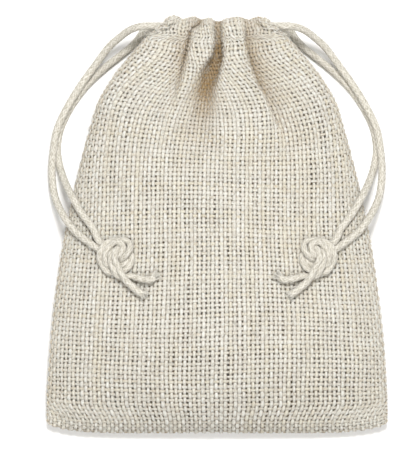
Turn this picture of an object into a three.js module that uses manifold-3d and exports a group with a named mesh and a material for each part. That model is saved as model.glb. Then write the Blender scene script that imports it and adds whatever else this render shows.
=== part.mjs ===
// Small drawstring pouch of open-weave burlap, lying on its back on a table with the mouth drawn shut.
// Millimetres. X runs across the pouch, Y from the bottom fold to the mouth, Z up from the table.
// The origin is on the table, under the middle of the cloth body.
import * as THREE from "three";
import { mergeVertices } from "three/addons/utils/BufferGeometryUtils.js";
import Module from "manifold-3d";

const wasm = await Module();
wasm.setup();

// Outline of the cloth body, seen from above
const panelHeight = 122.4; // bottom fold to gathered top edge
const baseHalfWidth = 50;
const shoulderHeight = 96; // above the fold: the gathering starts here
const shoulderHalfWidth = 35.2;
const neckHalfWidth = 14;
const gatherCurve = 1.5; // how suddenly the shoulders turn in to the neck
const cornerLift = 2.4; // the bottom corners round up by this

// Thickness and puff of the body
const clothThickness = 0.9;
const layerGap = 0.3; // between pieces of cloth that touch
const crownRise = 20; // front panel above the table, at its fullest
const sideRise = 6; // side edges above the table
const foldRise = 3.2; // bottom fold above the table
const foldReach = 34; // from the fold up to the full crown
const backFoldReach = 9; // the back panel leaves the table this far from the fold
const sideRoll = 9; // and this far from the side edges

// Casings: the two sewn sleeves along the mouth that hold the cords
const cordDiameter = 2.1;
const cordGap = 0.3; // between cords that lie side by side
const sleeveGap = 0.2; // between a cord and its sleeve
const sleeveWall = 0.7;
const sleeveTopSlack = 0.7; // cloth above the sleeve, along the top edge
const mouthGap = 4.7; // between the two sleeves, where things go in
const neckLift = 0.4; // back sleeve above the table
const casingReach = 0.93; // share of the neck's width that the sleeves take; the rest is the slits at the sides
const turnApex = 20.6; // how far out a cord's turn reaches, from the pouch's middle to the cord's middle
const cordPull = 3.5; // slack left in each turn: the cord can still be pulled out by this
const pleatDepth = 3.2; // folds of the gathered cloth over the front sleeve
const backPleatDepth = 0.8;
const backPleatCount = 5;
const openPleatDepth = 5.4; // the same folds below the sleeve, where no cord holds them up

// Side seams inside the pouch
const seamAllowance = 6;
const seamThickness = 1.2;
const seamDrop = 0.4; // the allowance's underside, below the line where the panels meet
const seamStart = 9; // above the bottom fold
const seamEndBelowCasing = 4;

// Knots and tails of the cords
const knotSeat = [-28, -11.1]; // middle of the left knot
const knotSqueeze = 0.8; // how thin the cord is drawn where the knot is tight
const knotSteps = 42;
const tubeSides = 8;

// Sizes worked out from the ones above
const cordRadius = cordDiameter / 2;
const knotRadius = cordRadius * knotSqueeze;
const laneShift = (cordDiameter + cordGap) / 2; // each cord's lane, left or right of the sleeve's middle
const laneRise = laneShift / 2;
const twistRadius = Math.hypot(laneShift, laneRise);
const sleeveBore = 2 * (twistRadius + cordRadius + sleeveGap);
const casingHeight = sleeveBore + 2 * sleeveWall + sleeveTopSlack;
const casingBase = panelHeight - casingHeight; // above the fold
const backSleeveBottom = neckLift + backPleatDepth + sleeveWall;
const backSleeveMiddle = backSleeveBottom + sleeveBore / 2;
const mouthBottom = backSleeveBottom + sleeveBore + sleeveWall;
const mouthTop = mouthBottom + mouthGap;
const frontSleeveMiddle = mouthTop + sleeveWall + sleeveBore / 2;
const neckRise = mouthTop + 2 * sleeveWall + sleeveBore + pleatDepth;
const mouthMiddle = (mouthBottom + mouthTop) / 2;
const turnRadius = (frontSleeveMiddle - backSleeveMiddle) / 2 - laneRise;
const foldY = -panelHeight / 2;
const sleeveY = foldY + casingBase + sleeveWall + sleeveBore / 2;

// Folds of the gathered front: where each lies across the neck and at its foot, how wide, and how long
const frontPleats = [
  { top: 0.03, foot: -0.06, width: 0.11, depth: 1, length: 36 },
  { top: -0.36, foot: -0.33, width: 0.1, depth: 0.8, length: 24 },
  { top: 0.44, foot: 0.36, width: 0.1, depth: 0.85, length: 32 },
  { top: -0.7, foot: -0.62, width: 0.08, depth: 0.5, length: 16 },
  { top: 0.75, foot: 0.66, width: 0.08, depth: 0.5, length: 16 },
];

const boreEnd = casingReach * halfWidth(casingBase + sleeveWall);

const smooth = (from, to, at) => THREE.MathUtils.smoothstep(at, from, to);

function halfWidth(h) {
  const taper = (baseHalfWidth - shoulderHalfWidth) / shoulderHeight ** 2;
  const untied = baseHalfWidth - taper * h ** 2;
  const drawnIn = baseHalfWidth - taper * panelHeight ** 2 - neckHalfWidth;
  const along = Math.max(0, (h - shoulderHeight) / (panelHeight - shoulderHeight));
  return untied - drawnIn * along ** gatherCurve;
}

// Height of the side edges, where the front and back panels meet
function edgeRise(h) {
  const body = THREE.MathUtils.lerp(foldRise, sideRise, smooth(0, foldReach, h));
  return THREE.MathUtils.lerp(body, mouthMiddle, smooth(shoulderHeight * 0.75, casingBase, h));
}

function pleats(across, h) {
  const deepest = THREE.MathUtils.lerp(openPleatDepth, pleatDepth, smooth(casingBase - 6, casingBase - 1, h));
  const below = panelHeight - h;
  return frontPleats.reduce((sum, pleat) => {
    const at = THREE.MathUtils.lerp(pleat.top, pleat.foot, Math.min(1, below / pleat.length));
    const share = Math.exp(-(((across - at) / pleat.width) ** 2));
    return sum + deepest * pleat.depth * share * (1 - smooth(pleat.length * 0.4, pleat.length, below));
  }, 0);
}

// Point on the outside of the front panel: across runs from -1 at the left edge to 1 at the right
function frontPoint(across, h) {
  const neck = smooth(shoulderHeight * 0.8, casingBase, h);
  const crown = THREE.MathUtils.lerp(crownRise, neckRise, neck);
  const roundness = THREE.MathUtils.lerp(1, 0.28, neck);
  const fold = (1 - (1 - Math.min(1, h / foldReach)) ** 2) ** 0.65;
  const inside = Math.sqrt(Math.max(0, 1 - across ** 2));
  const edge = edgeRise(h);
  const z = edge + (crown - edge) * fold * inside ** roundness - pleats(across, h) * inside;
  return new THREE.Vector3(halfWidth(h) * across, foldY + h + cornerRounding(across, h), z);
}

// Point on the outside of the back panel, flat on the table away from its edges
function backPoint(across, h) {
  const width = halfWidth(h);
  const side = Math.max(0, (Math.abs(across) * width - (width - sideRoll)) / sideRoll);
  const fold = Math.max(0, 1 - h / backFoldReach);
  const lift = neckLift * smooth(shoulderHeight, casingBase, h);
  const round = 1 - Math.sqrt(Math.max(0, (1 - side ** 2) * (1 - fold ** 2)));
  const z = THREE.MathUtils.lerp(lift, edgeRise(h), round);
  return new THREE.Vector3(width * across, foldY + h + cornerRounding(across, h), z);
}

function cornerRounding(across, h) {
  return cornerLift * Math.abs(across) ** 8 * (1 - smooth(0, foldReach / 2, h));
}

// Height of the front panel's outside above a point of the table
function panelRise(x, y) {
  const h = y - foldY;
  return frontPoint(x / halfWidth(h), h).z;
}

// Closed solid of an even thickness behind a curved face. point(u, v) is the outer face, u and v from 0 to 1,
// and the inner face stays on its own side of limit(v), the height where the two panels meet.
function clothShell(point, columns, rows, thickness, outwards, limit) {
  const us = columns;
  const vs = rows;
  const step = 0.004;
  const inset = (value) => THREE.MathUtils.clamp(value, 0.02, 0.98);
  const normalAt = (u, v) => {
    const a = inset(u);
    const b = inset(v);
    const alongU = point(a + step, b).sub(point(a - step, b));
    const alongV = point(a, b + step).sub(point(a, b - step));
    const normal = alongU.cross(alongV).normalize().multiplyScalar(outwards);
    if (u === 0 || u === 1 || v === 0) normal.setZ(0).normalize(); // edges that face the other panel
    else if (v === 1) normal.setY(0).normalize(); // and the edge that faces a casing
    return normal;
  };
  const positions = [];
  const outer = [];
  const inner = [];
  vs.forEach((v) => {
    us.forEach((u) => {
      const p = point(u, v);
      outer.push(positions.length / 3);
      positions.push(p.x, p.y, p.z);
      const q = p.clone().addScaledVector(normalAt(u, v), -thickness);
      q.setZ(outwards * Math.max(outwards * q.z, outwards * limit(v)));
      inner.push(positions.length / 3);
      positions.push(q.x, q.y, q.z);
    });
  });
  const wide = us.length;
  const high = vs.length;
  const index = [];
  const quad = (a, b, c, d) => {
    if (outwards > 0) index.push(a, b, c, a, c, d);
    else index.push(a, c, b, a, d, c);
  };
  for (let j = 0; j < high - 1; j += 1) {
    for (let i = 0; i < wide - 1; i += 1) {
      const at = j * wide + i;
      quad(outer[at], outer[at + 1], outer[at + wide + 1], outer[at + wide]);
      quad(inner[at], inner[at + wide], inner[at + wide + 1], inner[at + 1]);
    }
  }
  for (let i = 0; i < wide - 1; i += 1) {
    const top = (high - 1) * wide + i;
    quad(outer[i], inner[i], inner[i + 1], outer[i + 1]);
    quad(outer[top], outer[top + 1], inner[top + 1], inner[top]);
  }
  for (let j = 0; j < high - 1; j += 1) {
    const left = j * wide;
    const right = left + wide - 1;
    quad(outer[left], outer[left + wide], inner[left + wide], inner[left]);
    quad(outer[right], inner[right], inner[right + wide], outer[right + wide]);
  }
  return indexed(positions, index);
}

function indexed(positions, index) {
  const geometry = new THREE.BufferGeometry();
  geometry.setAttribute("position", new THREE.Float32BufferAttribute(positions, 3));
  geometry.setIndex(index);
  return geometry;
}

// Closed solid through a row of rings, each with the same number of points, with flat ends
function loft(rings) {
  const sides = rings[0].length;
  const positions = [];
  rings.flat().forEach((p) => positions.push(p.x, p.y, p.z));
  const index = [];
  for (let k = 0; k < rings.length - 1; k += 1) {
    for (let i = 0; i < sides; i += 1) {
      const a = k * sides + i;
      const b = k * sides + ((i + 1) % sides);
      index.push(a, b, b + sides, a, b + sides, a + sides);
    }
  }
  const cap = (ring, start, flip) => {
    const middle = ring.reduce((sum, p) => sum.add(p), new THREE.Vector3()).divideScalar(sides);
    const centre = positions.length / 3;
    positions.push(middle.x, middle.y, middle.z);
    for (let i = 0; i < sides; i += 1) {
      const a = start + i;
      const b = start + ((i + 1) % sides);
      if (flip) index.push(centre, b, a);
      else index.push(centre, a, b);
    }
  };
  cap(rings[0], 0, true);
  cap(rings[rings.length - 1], (rings.length - 1) * sides, false);
  return indexed(positions, index);
}

function solid(geometry) {
  const bare = geometry.clone();
  bare.deleteAttribute("normal");
  bare.deleteAttribute("uv");
  const merged = mergeVertices(bare, 1e-4);
  const made = new wasm.Manifold(
    new wasm.Mesh({
      numProp: 3,
      vertProperties: new Float32Array(merged.attributes.position.array),
      triVerts: new Uint32Array(merged.index.array),
    }),
  );
  return made;
}

function geometryOf(made) {
  const mesh = made.getMesh();
  return indexed(Array.from(mesh.vertProperties), Array.from(mesh.triVerts));
}

const even = (count) => Array.from({ length: count + 1 }, (_, i) => i / count);

// Columns that crowd towards the side edges, where the cloth turns steeply
const acrossOf = (u) => 0.6 * -Math.cos(Math.PI * u) + 0.4 * (2 * u - 1);

function panelRows(reach, top, foldSteps, bodySteps, neckSteps) {
  const fold = even(foldSteps).map((t) => reach * (1 - Math.cos((Math.PI / 2) * t)));
  const body = even(bodySteps).slice(1).map((t) => THREE.MathUtils.lerp(reach, shoulderHeight, t));
  const neck = even(neckSteps).slice(1).map((t) => THREE.MathUtils.lerp(shoulderHeight, top, t));
  return [...fold, ...body, ...neck].map((h) => h / top);
}

function frontPanel() {
  const top = casingBase - layerGap;
  const point = (u, v) => {
    const p = frontPoint(acrossOf(u), v * top);
    return p.setZ(p.z + layerGap / 2);
  };
  const rows = panelRows(foldReach, top, 7, 7, 10);
  const seamLine = (v) => edgeRise(v * top) + layerGap / 2;
  return clothShell(point, even(40), rows, clothThickness, 1, seamLine);
}

function backPanel() {
  const top = casingBase - layerGap;
  const point = (u, v) => {
    const p = backPoint(acrossOf(u), v * top);
    return p.setZ(Math.max(p.z - layerGap / 2, 0));
  };
  const rows = panelRows(backFoldReach, top, 5, 6, 5);
  const seamLine = (v) => edgeRise(v * top) - layerGap / 2;
  return clothShell(point, even(22), rows, clothThickness, -1, seamLine);
}

// Solid of one turned-down hem, before it is bored: outerRise(across, h) is its outside, innerRise its
// flat inside. Its ends follow the outline of the neck, and its top edge is a round fold.
function sleeveBlock(outerRise, innerRise, outwards) {
  const turn = casingHeight / 4;
  const ring = (across) => {
    const outer = (h) => outerRise(across, h);
    const corner = panelHeight - turn;
    const points = [[casingBase, innerRise]];
    [casingBase, casingBase + casingHeight / 2].forEach((h) => points.push([h, outer(h)]));
    const bend = (rise, from) =>
      even(3).forEach((t) => {
        const angle = from - outwards * (Math.PI / 2) * t;
        points.push([corner + turn * Math.cos(angle), rise + turn * Math.sin(angle)]);
      });
    bend(outer(corner) - outwards * turn, (outwards * Math.PI) / 2);
    bend(innerRise + outwards * turn, 0);
    return points.map(([h, z]) => new THREE.Vector3(across * halfWidth(h), foldY + h, z));
  };
  const rings = even(32).map((t) => ring(THREE.MathUtils.lerp(-casingReach, casingReach, t)));
  return loft(outwards > 0 ? rings.reverse() : rings);
}

// Sleeve bore along X: a square with well rounded corners, room for two cords that cross inside
function sleeveBorer(rise) {
  const half = sleeveBore / 2;
  const corner = half * 0.6;
  const square = new THREE.Shape();
  square.moveTo(-half + corner, -half);
  square.lineTo(half - corner, -half);
  square.absarc(half - corner, -half + corner, corner, -Math.PI / 2, 0);
  square.lineTo(half, half - corner);
  square.absarc(half - corner, half - corner, corner, 0, Math.PI / 2);
  square.lineTo(-half + corner, half);
  square.absarc(-half + corner, half - corner, corner, Math.PI / 2, Math.PI);
  square.lineTo(-half, -half + corner);
  square.absarc(-half + corner, -half + corner, corner, Math.PI, 1.5 * Math.PI);
  const length = 4 * neckHalfWidth;
  const bore = new THREE.ExtrudeGeometry(square, { depth: length, bevelEnabled: false, curveSegments: 3 });
  bore.translate(0, 0, -length / 2);
  bore.rotateY(Math.PI / 2);
  bore.translate(0, sleeveY, rise);
  return solid(bore);
}

// Room at each end of the mouth for the turn of the cord that comes out there
function endNotch(side) {
  const inner = turnApex - turnRadius - cordPull + cordDiameter;
  const high = mouthGap + 2 * sleeveWall + sleeveBore / 2;
  const box = new THREE.BoxGeometry(neckHalfWidth, 2 * casingHeight, high);
  box.translate(side * (inner + neckHalfWidth / 2), sleeveY, mouthMiddle);
  return solid(box);
}

function casing(block, boreRise) {
  const made = solid(block).subtract(sleeveBorer(boreRise));
  return geometryOf(made.subtract(endNotch(-1)).subtract(endNotch(1)));
}

function frontCasing() {
  const outer = (across, h) => frontPoint(across, h).z;
  return casing(sleeveBlock(outer, mouthTop, 1), frontSleeveMiddle);
}

function backCasing() {
  const outer = (across) => {
    const folds = 0.5 - 0.5 * Math.cos(across * backPleatCount * Math.PI);
    return neckLift + backPleatDepth * folds;
  };
  return casing(sleeveBlock(outer, mouthBottom, -1), backSleeveMiddle);
}

// Turned-in seam allowances along one side: both panels' edges, sewn together
function sideSeam(side) {
  const top = casingBase - seamEndBelowCasing;
  const point = (u, v) => {
    const h = THREE.MathUtils.lerp(seamStart, top, v);
    const outer = halfWidth(h) - clothThickness - 3 * layerGap;
    const x = side * outer - seamAllowance * (side > 0 ? 1 - u : -u);
    return new THREE.Vector3(x, foldY + h, edgeRise(h) - seamDrop + seamThickness);
  };
  const rings = even(16).map((v) => {
    const upper = [0, 0.5, 1].map((u) => point(u, v));
    const lower = upper.map((p) => p.clone().setZ(p.z - seamThickness)).reverse();
    return [...upper, ...lower];
  });
  return loft(rings);
}

// Round cord along part of a route, from one fraction of it to another
class Stretch extends THREE.Curve {
  constructor(route, from, to) {
    super();
    this.route = route;
    this.from = from;
    this.to = to;
  }
  getPoint(t, target = new THREE.Vector3()) {
    return this.route.getPoint(THREE.MathUtils.lerp(this.from, this.to, t), target);
  }
}

function cordTube(route, from, to, steps, radius = cordRadius) {
  const outline = new THREE.Shape();
  for (let i = 0; i <= tubeSides; i += 1) {
    const angle = (2 * Math.PI * i) / tubeSides;
    const method = i === 0 ? "moveTo" : "lineTo";
    outline[method](radius * Math.cos(angle), radius * Math.sin(angle));
  }
  const path = new Stretch(route, from, to);
  path.arcLengthDivisions = steps * 12;
  return new THREE.ExtrudeGeometry(outline, { steps, extrudePath: path, bevelEnabled: false });
}

// Cord inside a sleeve, from the end where it comes out to the end where it turns back. The two cords
// swap sides on the way, by half a turn round each other, so neither is in the other's way at the ends.
function sleevePoints(side, middle, outward) {
  const start = Math.atan2(outward * laneRise, laneShift);
  return even(8).map((t) => {
    const angle = start + side * Math.PI * t;
    const x = side * (turnApex - turnRadius) * (1 - 2 * t);
    return [x, sleeveY + twistRadius * Math.cos(angle), middle + twistRadius * Math.sin(angle)];
  });
}

// The turn at the far end, from the front sleeve round to the back one
function turnPoints(side) {
  return even(6).slice(1, -1).map((t) => {
    const angle = Math.PI * (0.5 - t);
    const x = turnApex - turnRadius + turnRadius * Math.cos(angle);
    const middle = (frontSleeveMiddle + backSleeveMiddle) / 2;
    return [-side * x, sleeveY - laneShift, middle + turnRadius * Math.sin(angle)];
  });
}

// Free ends of the left cord, from the sleeve to the knot; the right cord's mirror them.
// A point is [x, y, z]. Where the cord lies on the pouch z is left out and follows the cloth.
const exitY = sleeveY + laneShift;
const frontStrand = [
  [-boreEnd, exitY, frontSleeveMiddle + laneRise],
  [-21.7, exitY, 15.5],
  [-24.2, 57.9, 13.6],
  [-26.4, 56.9, 11.3],
  [-28.6, 55.3, 9],
  [-31.9, 52.4, 6.2],
  [-36, 47, 4.1],
  [-40.4, 40.9, 3.5],
  [-44.5, 34.1, 3.45],
  [-47.2, 28.2, 3.45],
  [-48.3, 22.3, 3.4],
  [-48.8, 15.5, 3],
  [-48, 8.7, 4.4],
  [-45.4, 2.8, 9],
  [-41.6, -2.2],
  [-37.8, -5.2],
];
const backStrand = [
  [-boreEnd, exitY, backSleeveMiddle - laneRise],
  [-21.4, 57.6, 3.1],
  [-22.5, 56, 2.2],
  [-23.8, 54.2, 1.5],
  [-25.7, 52.3, 1.1],
  [-28.3, 50.2, 1.1],
  [-32.7, 46.7, 1.1],
  [-36.9, 42.9, 1.1],
  [-40.2, 39.2, 1.1],
  [-43.8, 33.8, 1.1],
  [-46.4, 27.9, 1.1],
  [-47.2, 22.3, 1.1],
  [-46.7, 18.1, 1.5],
  [-45.4, 13.8, 4.6],
  [-43, 8.7, 10.1],
  [-39.8, 3.2],
  [-36.5, -1.2],
];

// Overhand knot tied in both strands together and pulled tight. A point is [across, along, height above
// the cloth], from the knot's middle. The pair goes in under its own turn, round over it and out on top.
const knotInner = [
  [-6.9, 6.5, 1.7],
  [-5.1, 4.5, 1.3],
  [-3.5, 2.6, 1.3],
  [-2.3, 1.6, 1.5],
  [-1, 2, 2.9],
  [0.3, 3.9, 3.4],
  [0.1, 5.2, 3.3],
  [-1.6, 6, 3],
  [-3.5, 4.7, 2.6],
  [-4.7, 3.3, 3.3],
  [-4.9, 1, 2.8],
  [-4.6, -0.4, 2.1],
  [-2.3, -1.6, 1.3],
  [-0.1, -0.9, 1.3],
  [1.4, 0.3, 1.4],
  [1.3, 1.7, 1.3],
  [-0.5, 3, 1.3],
  [-2, 3.5, 2.1],
  [-3.2, 2.4, 3.4],
  [-3.2, -0.1, 3],
  [-2.6, -1.7, 3.7],
  [-1.4, -3.9, 2.5],
  [0.2, -4.3, 1.5],
  [2.7, -4.1, 1.3],
  [5.7, -4.9, 1.7],
];
const knotOuter = [
  [-6.4, 3.4, 1.5],
  [-4.7, 1.5, 1.3],
  [-2.2, 0, 1.3],
  [-0.4, 0.6, 1.7],
  [0.5, 1.4, 2.7],
  [2.3, 3.6, 3.3],
  [2.1, 5.8, 1.7],
  [0.3, 6.4, 1.5],
  [-2.8, 6.2, 1.5],
  [-5, 5.3, 2.6],
  [-6.2, 3.3, 3.5],
  [-6.6, 1.2, 2.8],
  [-5.5, -1.3, 1.4],
  [-3.9, -2.9, 1.9],
  [-1.4, -3.1, 1.3],
  [1.3, -2, 1.3],
  [2.8, -0.1, 1.3],
  [2.8, 2.1, 1.4],
  [1.1, 3.8, 1.3],
  [-0.6, 4.4, 2.4],
  [-1.9, 3, 4.1],
  [-2, 0.6, 4],
  [-1.2, -1, 3.5],
  [0.2, -3.9, 3.3],
  [1.6, -5.8, 2.3],
];
const tailInner = [
  [8.5, -5.1, 1.9],
  [9.7, -4.3, 1.7],
];
const tailOuter = [
  [3.4, -7.4, 1.8],
  [4.7, -8.5, 1.7],
  [6, -9.3, 1.6],
];

function strandPoints(points, side) {
  return points.map(([x, y, z]) => {
    const slope = panelRise(x + 0.5, y) - panelRise(x - 0.5, y);
    const onCloth = () => panelRise(x, y) + (cordRadius + layerGap) * Math.hypot(1, slope);
    return [-side * x, y, z ?? onCloth()];
  });
}

function knotPoints(points, side) {
  return points.map(([x, y, lift]) => {
    const place = [knotSeat[0] + x, knotSeat[1] + y];
    return [-side * place[0], place[1], panelRise(...place) + lift];
  });
}

// A drawcord from the tip of one tail to the tip of the other, and the nodes it is cut into
function drawcord(side) {
  const sections = [
    knotPoints(tailOuter, side).reverse(),
    knotPoints(knotOuter, side).reverse(),
    strandPoints(frontStrand, side).reverse(),
    sleevePoints(side, frontSleeveMiddle, 1),
    turnPoints(side),
    sleevePoints(side, backSleeveMiddle, -1).reverse(),
    strandPoints(backStrand, side),
    knotPoints(knotInner, side),
    knotPoints(tailInner, side),
  ];
  const points = sections.flat().map((p) => new THREE.Vector3(...p));
  const route = new THREE.CatmullRomCurve3(points, false, "centripetal");
  const counts = sections.map((section) => section.length);
  const upTo = (n) => counts.slice(0, n).reduce((sum, count) => sum + count, 0);
  // The cut after a section, a little before or after the point where it ends
  const cut = (n, offset) => {
    const at = upTo(n) - 1;
    const pitch = points[at].distanceTo(points[at + 1]);
    return (at + 0.5 + offset / pitch) / (points.length - 1);
  };
  const half = layerGap / 2;
  return {
    outerTail: cordTube(route, 0, cut(1, -half), 4),
    outerKnot: cordTube(route, cut(1, half), cut(2, -half), knotSteps, knotRadius),
    cord: cordTube(route, cut(2, half), cut(7, -half), 80),
    innerKnot: cordTube(route, cut(7, half), cut(8, -half), knotSteps, knotRadius),
    innerTail: cordTube(route, cut(8, half), 1, 4),
  };
}

// Finishes
const burlap = { color: 0xd8d2c0, roughness: 0.95, metalness: 0 };
const cotton = { color: 0xd9d5c9, roughness: 0.9, metalness: 0 };
const group = new THREE.Group();

function addPiece(name, geometry, finish) {
  const mesh = new THREE.Mesh(geometry, new THREE.MeshStandardMaterial(finish));
  mesh.name = name;
  group.add(mesh);
}

addPiece("front_panel", frontPanel(), burlap);
addPiece("back_panel", backPanel(), burlap);
addPiece("front_casing", frontCasing(), burlap);
addPiece("back_casing", backCasing(), burlap);
[["left", -1], ["right", 1]].forEach(([name, side]) => {
  const cord = drawcord(side);
  addPiece(`${name}_side_seam`, sideSeam(side), burlap);
  addPiece(`${name}_drawcord`, cord.cord, cotton);
  addPiece(`${name}_knot`, geometryOf(solid(cord.outerKnot).add(solid(cord.innerKnot))), cotton);
  addPiece(`${name}_inner_tail`, cord.innerTail, cotton);
  addPiece(`${name}_outer_tail`, cord.outerTail, cotton);
});

export default group;
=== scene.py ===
# Small burlap rosary pouch, drawn shut, lying on its back: thread-by-thread cloth and braided cords
import bpy
import functools
import math
import numpy as np
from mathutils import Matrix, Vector


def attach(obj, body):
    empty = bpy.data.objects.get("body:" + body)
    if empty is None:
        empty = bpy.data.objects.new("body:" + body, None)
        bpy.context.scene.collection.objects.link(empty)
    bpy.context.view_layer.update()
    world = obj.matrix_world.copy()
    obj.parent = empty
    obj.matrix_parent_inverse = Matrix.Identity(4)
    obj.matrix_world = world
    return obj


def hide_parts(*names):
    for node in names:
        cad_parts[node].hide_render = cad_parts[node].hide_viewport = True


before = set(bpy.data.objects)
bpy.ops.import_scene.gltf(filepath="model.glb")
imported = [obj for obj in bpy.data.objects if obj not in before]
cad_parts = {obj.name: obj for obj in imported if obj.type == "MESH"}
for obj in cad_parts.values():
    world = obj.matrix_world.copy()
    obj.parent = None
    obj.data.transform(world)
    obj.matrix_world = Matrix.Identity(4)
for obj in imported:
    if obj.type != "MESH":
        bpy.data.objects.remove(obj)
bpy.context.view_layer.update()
mm = 0.001


def linearColour(hexText):
    # an sRGB hex colour as the linear values that a shader socket takes
    parts = [int(hexText[i:i + 2], 16) / 255 for i in (0, 2, 4)]
    return [c / 12.92 if c <= 0.04045 else ((c + 0.055) / 1.055) ** 2.4 for c in parts] + [1.0]


def addNode(tree, kind, settings=None, links=None):
    # a node with its own settings, its socket values (by name or number) and its links;
    # a link from a node, and not from one of its sockets, starts at its first output
    node = tree.nodes.new("ShaderNode" + kind)
    for key, value in (settings or {}).items():
        if isinstance(key, str) and hasattr(node, key):
            setattr(node, key, value)
        else:
            node.inputs[key].default_value = value
    for key, source in (links or {}).items():
        tree.links.new(source.outputs[0] if hasattr(source, "outputs") else source, node.inputs[key])
    return node


def nodeAdder(owner):
    # empties the node tree of a new material or world, and gives back what adds a node to it
    owner.use_nodes = True
    owner.node_tree.nodes.clear()
    return functools.partial(addNode, owner.node_tree)


def addObject(name, data):
    made = bpy.data.objects.new(name, data)
    bpy.context.scene.collection.objects.link(made)
    return made


def smoothStep(low, high, at):
    t = np.clip((at - low) / (high - low), 0, 1)
    return t * t * (3 - 2 * t)


def blendTo(a, b, share):
    return a + (b - a) * share


def unitOf(vectors):
    return vectors / (np.linalg.norm(vectors, axis=-1, keepdims=True) + 1e-12)


def runningSum(steps):
    return np.concatenate([0 * steps[..., :1], np.cumsum(steps, axis=-1)], axis=-1)


def stacked(*parts):
    # values side by side as the last axis, with single ones repeated
    return np.stack(np.broadcast_arrays(*parts), axis=-1)


def distanceAlong(line):
    # how far each point of a line, or of each line in turn, lies from its start
    return runningSum(np.linalg.norm(np.diff(line, axis=-2), axis=-1))


def lineLength(line):
    return float(distanceAlong(line)[-1])


def dress(piece, body, slot, *nodes):
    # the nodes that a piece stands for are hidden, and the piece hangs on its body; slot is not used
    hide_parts(*nodes)
    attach(piece, body)


# straight above the table, as far off as the photograph's lack of perspective asks for
view = {"centre": (-2.65 * mm, -0.15 * mm), "height": 3.0, "lens": 811.0, "sensor": 36.0}


def makeCamera():
    data = bpy.data.cameras.new("photo_camera")
    data.lens = view["lens"]
    data.sensor_width = view["sensor"]
    camera = addObject("photo_camera", data)
    camera.location = (*view["centre"], view["height"])
    bpy.context.scene.camera = camera


stage = {
    "half": 2.0, "below": 0.0002, "floor": "f4f3f1",
    "near": 0.12, "lift": 0.015, "far": 0.45, "farLift": 0.65,  # glow of the paper by its distance from the pouch
    "world": 0.42,
}


def makeStage():
    bpy.ops.object.select_all(action="DESELECT")
    bpy.ops.mesh.primitive_plane_add(size=2 * stage["half"], location=(0, 0, -stage["below"]))
    floor = bpy.context.object
    floor.name = "paper_ground"
    paper = bpy.data.materials.new("white_paper")
    add = nodeAdder(paper)
    matte = add("BsdfDiffuse", {"Color": linearColour(stage["floor"])})
    path = add("LightPath")
    seen = add("Math", {"operation": "MAXIMUM"}, {0: path.outputs["Is Camera Ray"], 1: path.outputs["Is Glossy Ray"]})
    # away from the lamps the paper would turn grey, so what is seen of it is lifted to white there
    spot = add("TexCoord")
    away = add("VectorMath", {"operation": "LENGTH"}, {0: spot.outputs["Object"]})
    rise = add("MapRange", {1: stage["near"], 2: stage["far"], 3: stage["lift"], 4: stage["farLift"]},
               {0: away.outputs["Value"]})
    lift = add("Math", {"operation": "MULTIPLY"}, {0: seen, 1: rise})
    glow = add("Emission", {"Color": (1, 1, 1, 1)}, {"Strength": lift})
    both = add("AddShader", {}, {0: matte, 1: glow})
    add("OutputMaterial", {}, {"Surface": both})
    floor.data.materials.append(paper)

    world = bpy.data.worlds.new("soft_room")
    add = nodeAdder(world)
    path = add("LightPath")
    room = add("Background", {"Color": (1, 1, 1, 1), "Strength": stage["world"]})
    white = add("Background", {"Color": (1, 1, 1, 1), "Strength": 1.0})
    mix = add("MixShader", {}, {0: path.outputs["Is Camera Ray"], 1: room, 2: white})
    add("OutputWorld", {}, {"Surface": mix})
    bpy.context.scene.world = world


# a smaller key light from beyond the mouth and a broad fill from the near side
lamps = [
    {"name": "key_softbox", "at": (0.02, 0.34, 0.8), "size": 0.24, "power": 7.6},
    {"name": "fill_softbox", "at": (0.06, -0.4, 0.78), "size": 0.6, "power": 3.35},
]


def makeLamps():
    for lamp in lamps:
        data = bpy.data.lights.new(lamp["name"], "AREA")
        data.shape = "DISK"
        data.size = lamp["size"]
        data.energy = lamp["power"]
        light = addObject(lamp["name"], data)
        light.location = lamp["at"]
        light.rotation_mode = "QUATERNION"
        light.rotation_quaternion = (-Vector(lamp["at"])).to_track_quat("-Z", "Y")


makeCamera()
makeStage()
makeLamps()
bpy.context.scene.view_settings.view_transform = "Standard"
print("stage, lamps and camera are up")


# Shape of the pouch, in millimetres: the same outline and puff as the frame's panels
pouch = {
    "height": 122.4, "baseHalf": 50.0, "shoulderHeight": 96.0, "shoulderHalf": 35.2, "neckHalf": 14.0,
    "gather": 1.5, "cornerLift": 2.4, "cornerSharp": 8,
    "crown": 20.0, "side": 6.0, "fold": 3.2, "foldReach": 34.0, "foldRound": 0.65, "neckFlat": 0.28,
    "backFold": 9.0, "sideRoll": 9.0, "neckLift": 0.4, "cordDiameter": 2.1, "cordGap": 0.3,
    "sleeveGap": 0.2, "sleeveWall": 0.7, "topSlack": 0.7, "mouthGap": 4.7, "pleat": 3.2, "backPleat": 0.8,
}
foldY = -pouch["height"] / 2
laneShift = (pouch["cordDiameter"] + pouch["cordGap"]) / 2
laneRise = laneShift / 2
twistRadius = math.hypot(laneShift, laneRise)
sleeveBore = 2 * (twistRadius + pouch["cordDiameter"] / 2 + pouch["sleeveGap"])
casingHeight = sleeveBore + 2 * pouch["sleeveWall"] + pouch["topSlack"]
casingBase = pouch["height"] - casingHeight
backSleeve = pouch["neckLift"] + pouch["backPleat"] + pouch["sleeveWall"] + sleeveBore / 2
mouthBottom = backSleeve + sleeveBore / 2 + pouch["sleeveWall"]
mouthTop = mouthBottom + pouch["mouthGap"]
frontSleeve = mouthTop + pouch["sleeveWall"] + sleeveBore / 2
neckRise = mouthTop + 2 * pouch["sleeveWall"] + sleeveBore + pouch["pleat"]
mouthMiddle = (mouthBottom + mouthTop) / 2
sleeveY = foldY + casingBase + pouch["sleeveWall"] + sleeveBore / 2


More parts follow.
